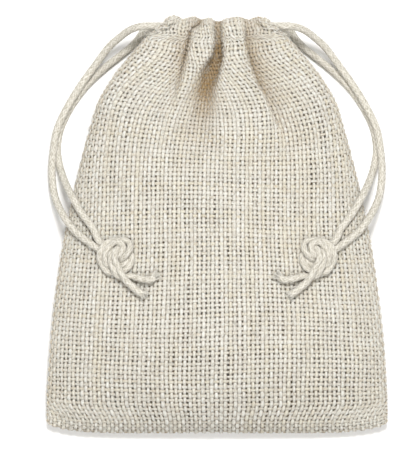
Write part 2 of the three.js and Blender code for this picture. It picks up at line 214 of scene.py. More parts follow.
def halfWidth(h):
    taper = (pouch["baseHalf"] - pouch["shoulderHalf"]) / pouch["shoulderHeight"] ** 2
    drawnIn = pouch["baseHalf"] - taper * pouch["height"] ** 2 - pouch["neckHalf"]
    along = np.clip((h - pouch["shoulderHeight"]) / (pouch["height"] - pouch["shoulderHeight"]), 0, 1)
    return pouch["baseHalf"] - taper * h ** 2 - drawnIn * along ** pouch["gather"]


def edgeRise(h):
    # height of the pouch's side edge above the table
    body = blendTo(pouch["fold"], pouch["side"], smoothStep(0, pouch["foldReach"], h))
    return blendTo(body, mouthMiddle, smoothStep(pouch["shoulderHeight"] * 0.75, casingBase, h))


def panelDome(across, h):
    # height of the front cloth before its folds
    neck = smoothStep(pouch["shoulderHeight"] * 0.8, casingBase, h)
    crown = blendTo(pouch["crown"], neckRise, neck)
    fold = (1 - (1 - np.clip(h / pouch["foldReach"], 0, 1)) ** 2) ** pouch["foldRound"]
    inside = np.sqrt(np.clip(1 - across ** 2, 0, 1))
    edge = edgeRise(h)
    return edge + (crown - edge) * fold * inside ** blendTo(1.0, pouch["neckFlat"], neck)


def cornerShift(across, h):
    # the bottom corners sit higher than the middle of the fold
    low = 1 - smoothStep(0, pouch["foldReach"] / 2, h)
    return pouch["cornerLift"] * np.abs(across) ** pouch["cornerSharp"] * low


def panelRise(x, y):
    # height of the front cloth over a point of the table
    h = y - foldY
    return float(panelDome(np.array(x / halfWidth(h)), np.array(h)))


# patterns are scaled in cycles per centimetre of yarn, fibres along it and then across it
burlap = {
    "tan": "e1dfcf", "cream": "e5e5da", "grey": "e2e4dd", "white": "e9ebe5",
    # painted shade: the brown goes on the folds, the yarns' sides and the fibre pits, the olive on each yarn's
    # underside
    "paintedShadeBrown": "947a4f", "shadeStrength": 0.82, "undersideShadeTint": "937a4a", "undersideShade": 0.36, "glow": "dfb063", "through": 0.24,
    "fibres": (1.1, 14.0, 1.0), "pits": (0.62, 0.36, 0.22), "specks": 21.0, "flecks": (0.56, 0.3, 0.4),
}


def burlapMaterial():
    # undyed burlap: loosely spun matte yarn, cream with greyer and warmer yarns mixed in, with painted brown shade in
    # the folds and on the yarns' sides
    made = bpy.data.materials.new("undyed_burlap_yarn")
    add = nodeAdder(made)
    fibre = add("UVMap", {"uv_map": "fibre"})
    stretch = add("Mapping", {"Scale": burlap["fibres"]}, {"Vector": fibre})
    streak = add("TexNoise", {"Scale": 1.0, "Detail": 4.0, "Roughness": 0.65}, {"Vector": stretch})
    slow = add("TexNoise", {"Scale": 0.55}, {"Vector": fibre})
    specks = add("TexNoise", {"Scale": burlap["specks"], "Roughness": 0.7}, {"Vector": fibre})
    tone, shelter, underside = [add("Attribute", {"attribute_name": mark}).outputs["Fac"]
                                for mark in ("yarnTone", "shelter", "underside")]
    # each yarn has its own tone, which drifts slowly along it
    drift = add("Math", {"operation": "MULTIPLY_ADD", 1: 0.9}, {0: slow, 2: tone})
    shift = add("Math", {"operation": "SUBTRACT", 1: 0.45}, {0: drift})
    colour = add("ValToRGB", {}, {"Fac": shift})
    stops = colour.color_ramp.elements
    stops[0].color, stops[1].color = linearColour(burlap["tan"]), linearColour(burlap["white"])
    stops.new(0.3).color = linearColour(burlap["cream"])
    stops.new(0.65).color = linearColour(burlap["grey"])
    # painted brown shade in the valleys, between the yarns and in the pits between fibres, and real brown flecks of
    # bark
    pitFrom, pitTo, pitShade = burlap["pits"]
    pits = add("MapRange", {1: pitFrom, 2: pitTo, 4: pitShade}, {0: streak})
    hollowShade = add("Math", {"operation": "MULTIPLY_ADD", 1: burlap["shadeStrength"], "use_clamp": True},
                  {0: shelter, 2: pits})
    fleckFrom, fleckTo, fleckBrown = burlap["flecks"]
    flecks = add("MapRange", {1: fleckFrom, 2: fleckTo, 4: fleckBrown}, {0: specks})
    brown = add("Math", {"operation": "ADD", "use_clamp": True}, {0: hollowShade, 1: flecks})
    # painted shade: the lower half of every yarn is painted duller and olive, which makes the crossings read as round
    undersideShade = add("Math", {"operation": "MULTIPLY", 1: burlap["undersideShade"]}, {0: underside})
    undersideShaded = add("Mix", {"data_type": "RGBA", 7: linearColour(burlap["undersideShadeTint"])}, {0: undersideShade, 6: colour})
    final = add("Mix", {"data_type": "RGBA", 7: linearColour(burlap["paintedShadeBrown"])}, {0: brown, 6: undersideShaded.outputs[2]})
    bump = add("Bump", {"Strength": 0.5, "Distance": 0.00012}, {"Height": streak})
    shader = add("BsdfPrincipled", {"Roughness": 0.92, "IOR": 1.45, "Sheen Weight": 0.15, "Sheen Roughness": 0.6},
                 {"Base Color": final.outputs[2], "Normal": bump})
    # light that comes through the loose yarn is warmer, so the holes look brown and not black
    through = add("BsdfTranslucent", {"Color": linearColour(burlap["glow"])})
    both = add("MixShader", {0: burlap["through"]}, {1: shader, 2: through})
    add("OutputMaterial", {}, {"Surface": both})
    return made


# painted shade: the groove colour darkens the cord between its strands
cordLook = {"strand": "cfcbc1", "grooveShade": "938c7b", "fibres": (13.0, 18.0, 1.0), "mottle": 2.4, "grooves": (1.25, 2.25)}


def cordMaterial():
    # braided cotton cord: soft matte strands, a shade greyer than the cloth, with painted shade darker between the
    # strands
    made = bpy.data.materials.new("braided_cotton_cord")
    add = nodeAdder(made)
    fibre = add("UVMap", {"uv_map": "fibre"})
    stretch = add("Mapping", {"Scale": cordLook["fibres"]}, {"Vector": fibre})
    streak = add("TexNoise", {"Scale": 1.0, "Detail": 3.0}, {"Vector": stretch})
    height = add("Attribute", {"attribute_name": "braidHeight"}).outputs["Fac"]
    mottled = add("Math", {"operation": "MULTIPLY_ADD", 1: cordLook["mottle"]}, {0: streak, 2: height})
    grooveAt, strandAt = cordLook["grooves"]
    raised = add("MapRange", {1: grooveAt, 2: strandAt}, {0: mottled})
    colour = add("ValToRGB", {}, {"Fac": raised})
    for stop, shade in zip(colour.color_ramp.elements, ("grooveShade", "strand")):
        stop.color = linearColour(cordLook[shade])
    bump = add("Bump", {"Strength": 0.8, "Distance": 0.00014}, {"Height": streak})
    shader = add("BsdfPrincipled", {"Roughness": 0.88, "IOR": 1.45, "Sheen Weight": 0.12, "Sheen Roughness": 0.6},
                 {"Base Color": colour, "Normal": bump})
    add("OutputMaterial", {}, {"Surface": shader})
    return made


yarnFinish = burlapMaterial()
cordFinish = cordMaterial()

# Every yarn and cord is a closed tube along its own centreline.
# Its bake map has one strip for each thread; its fibre map is in centimetres and leans round the thread.
maps = {"margin": 0.06, "strip": 0.88, "start": 0.002, "run": 0.99, "startCap": 0.001, "endCap": 0.0025,
        "lean": 1.2, "apart": 1.7, "perCm": 10}


def turnAngles(sides):
    return np.arange(sides) * 2 * math.pi / sides


def tubeMesh(name, rings):
    # quads along each thread and a flat cap at both of its ends
    count, points, sides = rings.shape[:3]
    first = np.arange(count)[:, None, None] * points * sides
    ring = first + np.arange(points - 1)[None, :, None] * sides
    here = np.arange(sides)[None, None, :]
    after = (here + 1) % sides
    quads = stacked(ring + here, ring + after, ring + sides + after, ring + sides + here)
    startCap = first[:, 0] + np.arange(sides)[::-1]
    endCap = first[:, 0] + (points - 1) * sides + np.arange(sides)
    corners = np.concatenate([quads.ravel(), startCap.ravel(), endCap.ravel()])
    sizes = np.concatenate([np.full(quads.size // 4, 4), np.full(2 * count, sides)])
    starts = np.concatenate([[0], np.cumsum(sizes)[:-1]])
    mesh = bpy.data.meshes.new(name)
    mesh.vertices.add(rings.size // 3)
    mesh.vertices.foreach_set("co", (rings * mm).astype(np.float32).ravel())
    mesh.loops.add(len(corners))
    mesh.loops.foreach_set("vertex_index", corners.astype(np.int32))
    mesh.polygons.add(len(sizes))
    mesh.polygons.foreach_set("loop_start", starts.astype(np.int32))
    mesh.polygons.foreach_set("loop_total", sizes.astype(np.int32))
    mesh.update(calc_edges=True)
    mesh.validate()
    return mesh


def mapTubes(mesh, centres, sides, girth):
    count = len(centres)
    length = distanceAlong(centres)
    longest = length.max()
    near, far = length[:, :-1, None] / longest, length[:, 1:, None] / longest
    low = np.arange(sides) / sides
    high = low + 1 / sides
    along, around = np.broadcast_arrays(stacked(near, near, far, far), stacked(low, high, high, low))
    thread = np.arange(count)[:, None, None, None]
    strip = (thread + maps["margin"] + maps["strip"] * around) / count
    bake = stacked(maps["start"] + along * maps["run"], strip).reshape(-1, 2)
    capThread = np.repeat(np.arange(count), sides)
    middle = (capThread + 0.5) / count
    startCap = stacked(maps["startCap"], middle)
    endCap = stacked(maps["endCap"] + np.repeat(length[:, -1] / longest, sides) * maps["run"], middle)
    fibre = stacked(along * longest / maps["perCm"] + around * girth * maps["lean"],
                    thread * maps["apart"] + around * girth).reshape(-1, 2)
    capFibre = stacked(0, capThread * maps["apart"])
    for name, parts in (("OFBake", [bake, startCap, endCap]), ("fibre", [fibre, capFibre, capFibre])):
        layer = mesh.uv_layers.new(name=name)
        layer.data.foreach_set("uv", np.concatenate(parts).astype(np.float32).ravel())
    mesh.uv_layers["OFBake"].active_render = True


def makeTubes(name, centres, normals, wide, high, sides, tone, finish, **marks):
    # centres and normals are threads x points x 3, wide and high are half sizes, all in mm;
    # marks are what its material reads at each vertex, and a mark left out reads as 0;
    # a single value stands for all points, or for all threads
    along = unitOf(np.gradient(centres, axis=1))
    side = unitOf(np.cross(along, normals))
    up = np.cross(side, along)
    cosine = np.cos(turnAngles(sides))[:, None]
    sine = np.sin(turnAngles(sides))[:, None]
    wideHere, highHere = [np.broadcast_to(size, centres.shape[:2])[:, :, None, None] for size in (wide, high)]
    rings = centres[:, :, None] + side[:, :, None] * cosine * wideHere + up[:, :, None] * sine * highHere
    mesh = tubeMesh(name, rings)
    mapTubes(mesh, centres, sides, 2 * math.pi * np.mean(wide) / maps["perCm"])
    for key, values in {"yarnTone": np.reshape(tone, (-1, 1, 1)), **marks}.items():
        mark = mesh.attributes.new(key, "FLOAT", "POINT")
        mark.data.foreach_set("value", np.broadcast_to(values, rings.shape[:3]).astype(np.float32).ravel())
    mesh.materials.append(finish)
    mesh.shade_smooth()
    return addObject(name, mesh)


# Cords, in millimetres: the frame's own route, and the braid on it
cords = {
    "diameter": 2.1, "exitGap": 0.3, "apex": 20.6, "perSpan": 40, "step": 0.22, "pathStep": 4,
    "sides": 24, "strands": 8, "lay": 2.9, "relief": 0.22, "middle": 0.62, "crown": 0.7,
    "squeeze": 0.86, "squeezeIn": 5,
}
turnRadius = (frontSleeve - backSleeve) / 2 - laneRise
boreEnd = 0.93 * float(halfWidth(casingBase + pouch["sleeveWall"]))
exitY = sleeveY + laneShift
knotSeat = (-28.0, -11.1)

frontStrand = [
    [-boreEnd, exitY, frontSleeve + laneRise], [-21.7, exitY, 15.5], [-24.2, 57.9, 13.6], [-26.4, 56.9, 11.3],
    [-28.6, 55.3, 9.0], [-31.9, 52.4, 6.2], [-36, 47, 4.1], [-40.4, 40.9, 3.5], [-44.5, 34.1, 3.45],
    [-47.2, 28.2, 3.45], [-48.3, 22.3, 3.4], [-48.8, 15.5, 3], [-48, 8.7, 4.4], [-45.4, 2.8, 9],
    [-41.6, -2.2, None], [-37.8, -5.2, None],
]
backStrand = [
    [-boreEnd, exitY, backSleeve - laneRise], [-21.4, 57.6, 3.1], [-22.5, 56, 2.2], [-23.8, 54.2, 1.5],
    [-25.7, 52.3, 1.1], [-28.3, 50.2, 1.1], [-32.7, 46.7, 1.1], [-36.9, 42.9, 1.1], [-40.2, 39.2, 1.1],
    [-43.8, 33.8, 1.1], [-46.4, 27.9, 1.1], [-47.2, 22.3, 1.1], [-46.7, 18.1, 1.5], [-45.4, 13.8, 4.6],
    [-43, 8.7, 10.1], [-39.8, 3.2, None], [-36.5, -1.2, None],
]
knotInner = [
    [-6.9, 6.5, 1.7], [-5.1, 4.5, 1.3], [-3.5, 2.6, 1.3], [-2.3, 1.6, 1.5], [-1, 2, 2.9], [0.3, 3.9, 3.4],
    [0.1, 5.2, 3.3], [-1.6, 6, 3], [-3.5, 4.7, 2.6], [-4.7, 3.3, 3.3], [-4.9, 1, 2.8], [-4.6, -0.4, 2.1],
    [-2.3, -1.6, 1.3], [-0.1, -0.9, 1.3], [1.4, 0.3, 1.4], [1.3, 1.7, 1.3], [-0.5, 3, 1.3], [-2, 3.5, 2.1],
    [-3.2, 2.4, 3.4], [-3.2, -0.1, 3], [-2.6, -1.7, 3.7], [-1.4, -3.9, 2.5], [0.2, -4.3, 1.5],
    [2.7, -4.1, 1.3], [5.7, -4.9, 1.7],
]
knotOuter = [
    [-6.4, 3.4, 1.5], [-4.7, 1.5, 1.3], [-2.2, 0, 1.3], [-0.4, 0.6, 1.7], [0.5, 1.4, 2.7], [2.3, 3.6, 3.3],
    [2.1, 5.8, 1.7], [0.3, 6.4, 1.5], [-2.8, 6.2, 1.5], [-5, 5.3, 2.6], [-6.2, 3.3, 3.5], [-6.6, 1.2, 2.8],
    [-5.5, -1.3, 1.4], [-3.9, -2.9, 1.9], [-1.4, -3.1, 1.3], [1.3, -2, 1.3], [2.8, -0.1, 1.3],
    [2.8, 2.1, 1.4], [1.1, 3.8, 1.3], [-0.6, 4.4, 2.4], [-1.9, 3, 4.1], [-2, 0.6, 4], [-1.2, -1, 3.5],
    [0.2, -3.9, 3.3], [1.6, -5.8, 2.3],
]
tailInner = [[8.5, -5.1, 1.9], [9.7, -4.3, 1.7]]
tailOuter = [[3.4, -7.4, 1.8], [4.7, -8.5, 1.7], [6.0, -9.3, 1.6]]


def restingRise(x, y):
    # height of a cord's middle where it rests on the cloth
    lean = panelRise(x + 0.5, y) - panelRise(x - 0.5, y)
    return panelRise(x, y) + (cords["diameter"] / 2 + cords["exitGap"]) * math.hypot(1, lean)


def strandPoints(points, side):
    return [[-side * x, y, restingRise(x, y) if z is None else z] for x, y, z in points]


def knotPoints(points, side):
    placed = [(knotSeat[0] + x, knotSeat[1] + y, lift) for x, y, lift in points]
    return [[-side * x, y, panelRise(x, y) + lift] for x, y, lift in placed]


def sleevePoints(side, middle, outward):
    # through one sleeve, where the two cords twist half a turn past each other
    start = math.atan2(outward * laneRise, laneShift)
    placed = []
    for t in np.linspace(0, 1, 9):
        angle = start + side * math.pi * t
        x = side * (cords["apex"] - turnRadius) * (1 - 2 * t)
        placed.append([x, sleeveY + twistRadius * math.cos(angle), middle + twistRadius * math.sin(angle)])
    return placed


def turnPoints(side):
    # round from the front sleeve to the back one at the far end
    placed = []
    for t in np.linspace(0, 1, 7)[1:-1]:
        angle = math.pi * (0.5 - t)
        x = cords["apex"] - turnRadius + turnRadius * math.cos(angle)
        placed.append([-side * x, sleeveY - laneShift, (frontSleeve + backSleeve) / 2 + turnRadius * math.sin(angle)])
    return placed


def cordRoute(side):
    # the whole cord from the tip of one tail to the tip of the other, and where its sections end
    sections = [
        knotPoints(tailOuter, side)[::-1], knotPoints(knotOuter, side)[::-1], strandPoints(frontStrand, side)[::-1],
        sleevePoints(side, frontSleeve, 1) + turnPoints(side) + sleevePoints(side, backSleeve, -1)[::-1],
        strandPoints(backStrand, side), knotPoints(knotInner, side), knotPoints(tailInner, side),
    ]
    counts = np.cumsum([len(section) for section in sections])
    return np.array([p for section in sections for p in section]), counts


def centripetal(points, perSpan):
    # the same smooth curve through the points as the frame's cords follow
    padded = np.vstack([2 * points[0] - points[1], points, 2 * points[-1] - points[-2]])
    made = []
    for i in range(len(points) - 1):
        p0, p1, p2, p3 = padded[i:i + 4]
        d0, d1, d2 = [max(1e-4, np.linalg.norm(b - a)) ** 0.5 for a, b in ((p0, p1), (p1, p2), (p2, p3))]
        m1 = ((p1 - p0) / d0 - (p2 - p0) / (d0 + d1) + (p2 - p1) / d1) * d1
        m2 = ((p2 - p1) / d1 - (p3 - p1) / (d1 + d2) + (p3 - p2) / d2) * d1
        t = np.linspace(0, 1, perSpan, endpoint=False)[:, None]
        made.append(p1 * (2 * t ** 3 - 3 * t ** 2 + 1) + m1 * (t ** 3 - 2 * t ** 2 + t)
                    + p2 * (-2 * t ** 3 + 3 * t ** 2) + m2 * (t ** 3 - t ** 2))
    made.append(points[-1:])
    return np.vstack(made)


def carriedNormals(line):
    # a frame carried along the line without spinning
    along = unitOf(np.gradient(line, axis=0))
    normal = np.cross(along[0], [0.3, 0.2, 1.0])
    made = []
    for t in along:
        normal = unitOf(normal - t * np.dot(normal, t))
        made.append(normal)
    return np.array(made)


def braidCord(name, line, normals, offset, tight):
    # round braid: two sets of strands wind opposite ways and pass over each other in turn
    theta = turnAngles(cords["sides"])[None, :]
    turn = (2 * math.pi * (offset + distanceAlong(line)) / cords["lay"])[:, None]
    half = cords["strands"] / 2
    one = np.abs(np.cos(half * theta + turn))
    two = np.abs(np.cos(half * theta - turn))
    over = np.cos(half * theta) * np.cos(turn) > 0
    height = 0.5 * np.where(over, one, two) ** cords["crown"] + 0.25 * (one + two)
    size = cords["diameter"] / 2 * tight
    wide = size[:, None] * (1 + cords["relief"] * (height - cords["middle"]))
    side = unitOf(np.cross(np.gradient(line, axis=0), normals))
    rings = line[:, None] + side[:, None] * (np.cos(theta) * wide)[:, :, None] \
        + normals[:, None] * (np.sin(theta) * wide)[:, :, None]
    piece = makeTubes(name, line[None], normals, 1, 1, cords["sides"], 0.5, cordFinish, braidHeight=height)
    piece.data.vertices.foreach_set("co", (rings * mm).astype(np.float32).ravel())
    piece.data.update()
    return piece


def join(name, parts):
    # the parts become one piece, each with its own band of the bake map
    for i, part in enumerate(parts):
        layer = part.data.uv_layers["OFBake"]
        at = np.empty(2 * len(layer.data), dtype=np.float32)
        layer.data.foreach_get("uv", at)
        at[1::2] = (at[1::2] + i) / len(parts)
        layer.data.foreach_set("uv", at)
    bpy.ops.object.select_all(action="DESELECT")
    for part in parts:
        part.select_set(True)
    bpy.context.view_layer.objects.active = parts[0]
    bpy.ops.object.join()
    parts[0].name = name
    parts[0].data.name = name
    return parts[0]


fray = {
    "fibres": 110, "points": 8, "sides": 5, "radius": 0.075, "root": 0.8, "reach": 1.7, "spread": 0.5, "flare": 1.4,
    "bend": 0.35, "ruffle": 0.04, "height": 1.2, "up": (0.1, 0.2, 1.0), "seed": 21,
}
frayRng = np.random.default_rng(fray["seed"])


def frayEnd(name, tip, out, aside, reach):
    # the cut end of a cord: its fibres come loose and fan out
    count, points = fray["fibres"], fray["points"]
    angle = frayRng.uniform(0, 2 * math.pi, (count, 1, 1))
    away = np.sqrt(frayRng.uniform(0, 1, (count, 1, 1)))
    t = np.linspace(0, 1, points)[None, :, None]
    long = reach * frayRng.uniform(0.45, 1.1, (count, 1, 1))
    spoke = np.cos(angle) * aside + np.sin(angle) * np.cross(out, aside)
    lines = tip - fray["root"] * out + t * (long + fray["root"]) * out
    lines = lines + spoke * away * (fray["root"] * cords["diameter"] / 2 + fray["spread"] * long * t ** fray["flare"])
    bend = frayRng.normal(0, fray["bend"], (count, 1, 3)) * long / 3
    lines = lines + bend * t ** 2 + frayRng.normal(0, fray["ruffle"], lines.shape)
    thin = fray["radius"] * frayRng.uniform(0.6, 1.4, (count, 1)) * np.linspace(1.2, 0.6, points)[None, :]
    return makeTubes(name, lines, fray["up"], thin, thin, fray["sides"], frayRng.uniform(0, 1, count), cordFinish,
                     braidHeight=fray["height"])


def cordLine(side):
    # the cord's centreline in even steps, the distance of each point and where its sections are cut
    points, counts = cordRoute(side)
    fine = centripetal(points, cords["perSpan"])
    span = distanceAlong(fine)
    even = np.arange(0, span[-1], cords["step"])
    line = stacked(*[np.interp(even, span, fine[:, i]) for i in range(3)])
    middles = [(count - 1) * cords["perSpan"] + cords["perSpan"] // 2 for count in counts[:-1]]
    cutAt = [0] + [int(span[middle] / cords["step"]) for middle in middles] + [len(line) - 1]
    return line, even, cutAt


def makeCords(name, side):
    line, even, cutAt = cordLine(side)
    normals = carriedNormals(line)
    names = ["outer_end", "knot_outer", "front_cord", "sleeve_cord", "back_cord", "knot_inner", "inner_end"]
    pieces, routes = {}, {}
    for part, a, b in zip(names, cutAt, cutAt[1:]):
        routes[part] = line[a:b + 1]
        tight = np.ones(b + 1 - a)
        if part.startswith("knot"):  # the cord is thinner where the knot is pulled tight
            inKnot = np.minimum(even[a:b + 1] - even[a], even[b] - even[a:b + 1])
            tight = blendTo(1.0, cords["squeeze"], smoothStep(0, cords["squeezeIn"], inKnot))
        pieces[part] = braidCord(f"{name}_{part}", routes[part], normals[a:b + 1], even[a], tight)
    knot = join(f"{name}_overhand_knot", [pieces.pop("knot_outer"), pieces.pop("knot_inner")])
    dress(knot, f"{name}_cord", "cotton_cord", f"{name}_knot")
    for part, at, before, reach in (("outer_end", 0, 4, 0.8), ("inner_end", -1, -5, 1.0)):
        out = unitOf(line[at] - line[before])
        loose = frayEnd(f"{name}_{part}_fray", line[at], out, normals[at], fray["reach"] * reach)
        pieces[part] = join(f"{name}_{part}", [pieces[part], loose])
    for part, piece in pieces.items():
        node = part.replace("end", "tail") if part.endswith("end") else "drawcord"
        dress(piece, f"{name}_cord", "cotton_cord", f"{name}_{node}")


makeCords("left", -1)
makeCords("right", 1)
print("cords are laid")


# Woven cloth: every warp and weft yarn is there, laid on the shape that the gathered cloth takes
weave = {
    "warps": 87, "pitch": 1.25, "weftPitch": 1.37, "hem": 12.0, "allowance": 4.5, "roll": 1.2, "bow": 4.5,
    "warpWide": 0.57, "warpShare": 0.445, "warpHigh": 0.29, "warpWave": 0.33,
    # the wefts get a little more painted brown shade than the warps
    "weftWide": 0.525, "weftShare": 0.385, "weftHigh": 0.19, "weftWave": 0.08, "weftPaintedShade": 0.05,
    "pinch": 0.11, "slub": 0.15, "sizes": 0.05, "places": 0.022, "warpWander": 0.0012, "weftWander": 0.08,
    "sway": 0.5, "dense": 0.8, "denseTo": 4.5, "seed": 7,
}
rng = np.random.default_rng(weave["seed"])

# Folds of the gathered front in mm: each value is given at heights y up the pouch, and the last at places x
folds = {
    "middleLeft": [(20, -7.5), (30, -7.2), (38, -6.2), (43, -4.9), (46, -3.9), (48, -2.9), (50, -1.7), (53, -1.1),
                   (60, -1.2)],
    "middleRight": [(20, -1.5), (30, -1.8), (36, -1.4), (40, -0.7), (44.7, 1.1), (49.4, 2.1), (53, 2.0), (60, 1.7)],
    "middleDepth": [(16, 0), (22, 0.8), (30, 2.2), (36, 4.0), (42, 5.8), (47, 6.2), (51, 5.2), (54, 3.4), (59, 3.1),
                    (61, 2.6)],
    "leftSoft": [(20, 2.6), (30, 2.2), (40, 1.4), (46, 0.5), (50, 0.14), (61, 0.12)],
    "rightSoft": [(20, 2.4), (30, 1.5), (40, 0.5), (45, 0.16), (61, 0.12)],
    "leftCrease": [(34, -13.5), (40, -11.8), (46, -10.2), (50, -9.3), (53, -8.6), (57, -7.7), (59.8, -4.6), (61, -4.0)],
    "leftDepth": [(32, 0), (40, 1.0), (46, 2.6), (50, 3.6), (54, 3.0), (59, 2.9), (61, 2.4)],
    "rightStep": [(24, 20.5), (30, 17.2), (35.3, 14.9), (38.2, 13.6), (41.2, 11.8), (47, 9.4), (53, 8.1), (60, 7.7)],
    "rightDepth": [(20, 0), (28, 0.8), (35, 1.9), (41, 3.2), (47, 3.9), (53, 3.3), (58, 2.8), (61, 2.0)],
    "ridge": [(24, 0), (38, 0.35), (46, 0.8), (58, 0.8), (61, 0.4)],
    "topDip": [(-16, 0.2), (-12.4, -0.5), (-10, 0.9), (-8.4, 0.2), (-6.8, -0.1), (-4.6, 0.9), (-3.4, 0.6),
               (-2.1, 0.2), (-0.6, 1.4), (1.2, 1.3), (2.6, 0.5), (5.9, 0.0), (7.6, 0.4), (9.4, 0.9),
               (12.0, 0.0), (16, 0.2)],
}


def foldAt(name, at):
    return np.interp(at, *zip(*folds[name]))


def hump(x, width):
    return np.exp(-(x / width) ** 2)


def softStep(x):
    return 1 / (1 + np.exp(-np.clip(x, -40, 40)))


def foldDepth(x, y):
    # how far the front cloth lies below its dome: middle valley, left crease, step down on the right
    left = softStep((x - foldAt("middleLeft", y)) / foldAt("leftSoft", y))
    right = softStep((foldAt("middleRight", y) - x) / foldAt("rightSoft", y))
    middle = foldAt("middleDepth", y) * left * right
    beside = x - foldAt("leftCrease", y)
    crease = foldAt("leftDepth", y) * (hump(beside, 0.75) + 0.4 * hump(beside + 1.8, 2.6))
    away = x - foldAt("rightStep", y)
    step = foldAt("rightDepth", y) * softStep(away / 0.13) * np.exp(-np.clip(away, 0, 60) / 3.6)
    return middle + crease + step


def lipRise(x, y):
    # cloth stands up along the lips of the folds, and in a slanting roll at both ends of the sleeve
    wide = 0.9 + 0.5 * smoothStep(50, 38, y)
    lips = hump(x - foldAt("middleLeft", y) + 1.0, wide) + hump(x - foldAt("middleRight", y) - 1.1, wide)
    lips += 1.1 * hump(x - foldAt("rightStep", y) + 0.7, 0.8 * wide)
    lips += 0.7 * hump(x - foldAt("leftCrease", y) - 1.9, wide) + 0.8 * hump(x - foldAt("leftCrease", y) + 2.1, 1.3)
    across = np.abs(x)
    outside = (across - 15.0) * 0.55 + (y - 57.4) * 0.837  # how far past the slanting line of the roll
    ear = hump(outside - 1.1, 0.9) - 1.3 * hump(outside + 0.1, 0.4)
    ear *= smoothStep(9.0, 11.0, across) * smoothStep(17.8, 15.8, across) * smoothStep(55.0, 57.0, y)
    return foldAt("ridge", y) * lips + ear


def unevenness(x, y):
    # the cloth has been pressed and handled: low, broad dents and rises
    rise = 0.30 * np.sin(x / 5.3 + 0.9 * np.sin(y / 11)) * np.sin(y / 8.1 + 0.7 * np.sin(x / 13) + 1.1)
    rise += 0.16 * np.sin(y / 3.4 + 1.7 * np.sin(x / 9.5)) * np.sin(x / 15.0 + 2.0)
    return rise * smoothStep(-61, -50, y) * smoothStep(56, 44, y)


def bowed(across, out):
    # rows of the cloth rise towards the sides below the sleeve, in arcs round the neck
    return out + weave["bow"] * smoothStep(68, 100, out) * smoothStep(120, 106, out) * across ** 2


def placeRow(a, out, drawn):
    # a row's heights up the pouch, and its places on the table, at shares a of its half width
    hs = bowed(a, out)
    return hs, halfWidth(hs) * drawn * a, foldY + hs + cornerShift(a, hs)


# Past the top edge the cloth turns over and runs down inside the mouth
frontTurn = {"top": pouch["height"] - 1.8, "reach": 7.5, "narrow": 0.3, "rise": 1.3, "dips": 1,
             "inside": mouthTop + 0.3}
backTurn = {"top": pouch["height"] - 3.0, "reach": 6.0, "narrow": 0.12, "rise": 1.5, "dips": 0,
            "inside": mouthBottom - 0.3}
rowPoints = {"front": 1500, "back": 1300, "wall": 140, "flap": 40}
wallFrom = 0.92  # of the half width, where a front row's side begins


def turnOver(line, h, turn):
    over = float(np.clip((h - turn["top"]) / turn["reach"], 0, 1))
    line[:, 0] *= 1 - turn["narrow"] * smoothStep(0, 0.8, over)
    dips = turn["dips"] * smoothStep(casingBase - 1, turn["top"], min(h, turn["top"]))
    line[:, 1] -= foldAt("topDip", line[:, 0]) * dips
    line[:, 1] += turn["rise"] * math.sin(math.pi * over) ** 0.6 - max(0.0, h - turn["top"] - turn["reach"])
    line[:, 2] = blendTo(line[:, 2], turn["inside"], (1 - math.cos(math.pi * over)) / 2)


def withFlap(line, out):
    # the seam allowance is turned in, and gives way to the open end of the sleeve
    width = weave["allowance"] * smoothStep(2, 9, out) * smoothStep(casingBase + 2, casingBase - 2, out) + 0.6
    inward = np.linspace(0, width, rowPoints["flap"])[1:]
    return np.vstack([line, line[-1] - inward[:, None] * [1, 0, 0]])


def frontRow(h):
    # one row of the front cloth: seam allowance or rolled end, the visible cloth, and the same again
    out = min(h, frontTurn["top"])
    rolled = smoothStep(casingBase - 0.4, casingBase + 3.0, out)
    drawn = blendTo(1.0, 0.97, smoothStep(casingBase + 3.6, frontTurn["top"], out))
    a = np.sin(np.linspace(-1, 1, rowPoints["front"]) * math.asin(wallFrom))
    hs, x, y = placeRow(a, out, drawn)
    depth = foldDepth(x, y)
    middle = stacked(x, y, panelDome(a, hs) - depth + lipRise(x, y) + unevenness(x, y))
    # side below the sleeve: down to the seam and a little way in
    b = np.sin(np.linspace(math.asin(wallFrom), math.pi / 2, rowPoints["wall"]))[1:]
    wallHs, wallX, wallY = placeRow(b, out, drawn)
    wallZ = panelDome(b, wallHs) + 0.3 * (b - wallFrom) / (1 - wallFrom)
    wall = withFlap(stacked(wallX, wallY, wallZ), out)
    # side at the sleeve: a rolled end that the cord comes out under
    angle = np.linspace(0, 1, len(wall)) * math.radians(300)
    roll = stacked(x[-1] + weave["roll"] * np.sin(angle), y[-1], middle[-1, 2] - weave["roll"] * (1 - np.cos(angle)))
    side = blendTo(wall, roll, rolled)
    line = np.vstack([side[::-1] * [-1, 1, 1], middle, side])
    # the rest of the cloth's width is gathered where it is not seen: down in the folds and under the ends
    inFlap = (np.arange(len(wall)) >= len(b)).astype(float)
    under = blendTo(inFlap, smoothStep(math.radians(100), math.radians(160), angle), rolled)
    steep = np.clip(np.abs(np.gradient(depth, x)) / 1.5, 0, 1) ** 1.2 * smoothStep(60, 96, wallHs[0])
    # between the two shapes the side is shorter than either, and the cloth it lacks is tucked in there
    lacking = max(0.0, blendTo(lineLength(wall), weave["roll"] * angle[-1], rolled) - lineLength(side))
    tuck = lacking * under / under.sum()
    # painted shade: the deeper the fold, the browner its cloth is painted
    shelter = np.concatenate([0 * under, np.clip(depth / 4.8, 0, 0.88), 0 * under])
    turnOver(line, h, frontTurn)
    return line, np.concatenate([under[::-1], steep, under]), np.concatenate([tuck[::-1], 0 * x, tuck]), shelter


